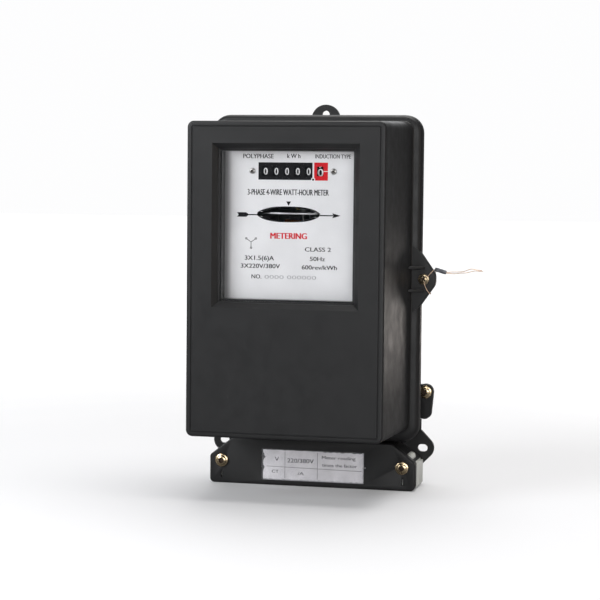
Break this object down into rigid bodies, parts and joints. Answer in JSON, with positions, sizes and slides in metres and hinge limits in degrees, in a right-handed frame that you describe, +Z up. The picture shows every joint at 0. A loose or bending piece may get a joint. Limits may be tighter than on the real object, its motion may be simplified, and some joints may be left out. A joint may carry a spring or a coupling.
{
  "type": "analog dial electric meter",
  "caption": "Wall-mounted induction watt-hour meter with a glazed dial, rotor discs, drum register, sealed cover, terminal block and screw-on terminal cover.",
  "frame": {"origin": "on the wall plane, midway between the two lower fixing slots and level with them", "axes": "+X to the right seen from the front, +Y into the wall (the front faces -Y), +Z up"},
  "size_m": [0.2175, 0.127, 0.285],
  "materials": {
    "moulding_black": "satin moulded, faint grain",
    "gasket_rubber": "matte foam rubber",
    "block_grey": "light grey moulded",
    "screw_brass": "yellow passivated, worn recess",
    "barrel_brass": "turned",
    "screw_steel": "zinc plated",
    "cast_frame": "die cast",
    "sheet_steel": "plated sheet",
    "disc_aluminium": "bright rolled",
    "wheel_red": "moulded",
    "wheel_black": "moulded, white printed digits",
    "pinion_nylon": "moulded nylon",
    "dial_enamel": "white printed enamel",
    "window_glass": "clear sheet",
    "card_film": "clear plastic window",
    "card_paper": "printed card",
    "seal_copper": "thin copper wire",
    "ferrule_lead": "crimped lead",
    "magnet_grey": "painted magnet steel",
    "core_laminations": "stacked silicon steel",
    "coil_tape": "taped winding",
    "coil_copper": "enamelled copper wire"
  },
  "bodies": {
    "case": {"back_plate": "moulding_black", "case_wall": "moulding_black", "base_inserts": "screw_brass", "cover_gasket": "gasket_rubber", "mechanism_frame": "cast_frame", "frame_screws": "screw_steel", "top_bearing": "barrel_brass", "bottom_bearing": "barrel_brass", "rear_voltage_core": "core_laminations", "left_voltage_core": "core_laminations", "right_voltage_core": "core_laminations", "rear_voltage_coil": "coil_tape", "left_voltage_coil": "coil_tape", "right_voltage_coil": "coil_tape", "rear_current_core": "core_laminations", "left_current_core": "core_laminations", "right_current_core": "core_laminations", "rear_current_coils": "coil_copper", "left_current_coils": "coil_copper", "right_current_coils": "coil_copper", "upper_brake_magnet": "magnet_grey", "lower_brake_magnet": "magnet_grey", "register_frame": "sheet_steel", "number_axle": "sheet_steel", "pinion_axle": "sheet_steel", "dial_plate": "dial_enamel", "dial_screws": "screw_steel", "terminal_block": "block_grey", "terminal_barrels": "barrel_brass", "terminal_screws": "screw_steel", "side_tab_screws": "screw_brass"},
    "rotor": {"rotor_shaft": "sheet_steel", "rotor_worm": "barrel_brass", "upper_disc": "disc_aluminium", "lower_disc": "disc_aluminium"},
    "cover": {"main_cover": "moulding_black", "window_glass": "window_glass", "window_frame": "moulding_black", "cover_screws": "screw_brass", "seal_wire": "seal_copper", "seal_ferrule": "ferrule_lead"},
    "terminal_lid": {"terminal_cover": "moulding_black", "rating_card": "card_paper", "card_window": "card_film", "terminal_cover_screws": "screw_brass"},
    "worm_gear": {"worm_wheel": "barrel_brass"},
    "idler_gear": {"second_gear": "barrel_brass"},
    "tenths": {"tenths_wheel": "wheel_red"},
    "left_tab": {"left_side_tab": "moulding_black"},
    "right_tab": {"right_side_tab": "moulding_black"},
    "digit_1": {"number_wheel_1": "wheel_black"},
    "carry_1": {"carry_pinion_1": "pinion_nylon"},
    "digit_2": {"number_wheel_2": "wheel_black"},
    "carry_2": {"carry_pinion_2": "pinion_nylon"},
    "digit_3": {"number_wheel_3": "wheel_black"},
    "carry_3": {"carry_pinion_3": "pinion_nylon"},
    "digit_4": {"number_wheel_4": "wheel_black"},
    "carry_4": {"carry_pinion_4": "pinion_nylon"},
    "digit_5": {"number_wheel_5": "wheel_black"},
    "carry_5": {"carry_pinion_5": "pinion_nylon"}
  },
  "joints": [
    {"name": "rotor_spin", "type": "hinge", "parent": "case", "child": "rotor", "pos_m": [-0.0013, -0.066, 0.137], "axis": [0, 0, 1], "continuous": true},
    {"name": "worm_gear_spin", "type": "hinge", "parent": "case", "child": "worm_gear", "pos_m": [0, -0.081, 0.1915], "axis": [1, 0, 0], "continuous": true},
    {"name": "idler_gear_spin", "type": "hinge", "parent": "case", "child": "idler_gear", "pos_m": [0, -0.08806, 0.20318], "axis": [1, 0, 0], "continuous": true},
    {"name": "tenths_spin", "type": "hinge", "parent": "case", "child": "tenths", "pos_m": [0, -0.0995, 0.2068], "axis": [1, 0, 0], "continuous": true},
    {"name": "digit_1_spin", "type": "hinge", "parent": "case", "child": "digit_1", "pos_m": [0, -0.0995, 0.2068], "axis": [1, 0, 0], "continuous": true},
    {"name": "carry_1_spin", "type": "hinge", "parent": "case", "child": "carry_1", "pos_m": [0, -0.09158, 0.21472], "axis": [1, 0, 0], "continuous": true},
    {"name": "digit_2_spin", "type": "hinge", "parent": "case", "child": "digit_2", "pos_m": [0, -0.0995, 0.2068], "axis": [1, 0, 0], "continuous": true},
    {"name": "carry_2_spin", "type": "hinge", "parent": "case", "child": "carry_2", "pos_m": [0, -0.09158, 0.21472], "axis": [1, 0, 0], "continuous": true},
    {"name": "digit_3_spin", "type": "hinge", "parent": "case", "child": "digit_3", "pos_m": [0, -0.0995, 0.2068], "axis": [1, 0, 0], "continuous": true},
    {"name": "carry_3_spin", "type": "hinge", "parent": "case", "child": "carry_3", "pos_m": [0, -0.09158, 0.21472], "axis": [1, 0, 0], "continuous": true},
    {"name": "digit_4_spin", "type": "hinge", "parent": "case", "child": "digit_4", "pos_m": [0, -0.0995, 0.2068], "axis": [1, 0, 0], "continuous": true},
    {"name": "carry_4_spin", "type": "hinge", "parent": "case", "child": "carry_4", "pos_m": [0, -0.09158, 0.21472], "axis": [1, 0, 0], "continuous": true},
    {"name": "digit_5_spin", "type": "hinge", "parent": "case", "child": "digit_5", "pos_m": [0, -0.0995, 0.2068], "axis": [1, 0, 0], "continuous": true},
    {"name": "carry_5_spin", "type": "hinge", "parent": "case", "child": "carry_5", "pos_m": [0, -0.09158, 0.21472], "axis": [1, 0, 0], "continuous": true},
    {"name": "cover_lift", "type": "slide", "parent": "case", "child": "cover", "axis": [0, -1, 0], "range_m": [0, 0.11]},
    {"name": "terminal_lid_lift", "type": "slide", "parent": "case", "child": "terminal_lid", "axis": [0, -1, 0], "range_m": [0, 0.03]},
    {"name": "left_tab_turn", "type": "hinge", "parent": "case", "child": "left_tab", "pos_m": [-0.0799, 0, 0.043], "axis": [0, 1, 0], "range_deg": [0, 90]},
    {"name": "right_tab_turn", "type": "hinge", "parent": "case", "child": "right_tab", "pos_m": [0.0799, 0, 0.043], "axis": [0, 1, 0], "range_deg": [-90, 0]}
  ],
  "couplings": [
    {"joint": "worm_gear_spin", "follows": "rotor_spin", "ratio": 0.016667},
    {"joint": "idler_gear_spin", "follows": "rotor_spin", "ratio": -0.0066667},
    {"joint": "tenths_spin", "follows": "rotor_spin", "ratio": 0.0016667},
    {"joint": "digit_1_spin", "follows": "rotor_spin", "ratio": 0.00016667},
    {"joint": "carry_1_spin", "follows": "rotor_spin", "ratio": -0.00041667},
    {"joint": "digit_2_spin", "follows": "rotor_spin", "ratio": 0.000016667},
    {"joint": "carry_2_spin", "follows": "rotor_spin", "ratio": -0.000041667},
    {"joint": "digit_3_spin", "follows": "rotor_spin", "ratio": 0.0000016667},
    {"joint": "carry_3_spin", "follows": "rotor_spin", "ratio": -0.0000041667},
    {"joint": "digit_4_spin", "follows": "rotor_spin", "ratio": 0.00000016667},
    {"joint": "carry_4_spin", "follows": "rotor_spin", "ratio": -0.00000041667},
    {"joint": "digit_5_spin", "follows": "rotor_spin", "ratio": 0.000000016667},
    {"joint": "carry_5_spin", "follows": "rotor_spin", "ratio": -0.000000041667}
  ]
}
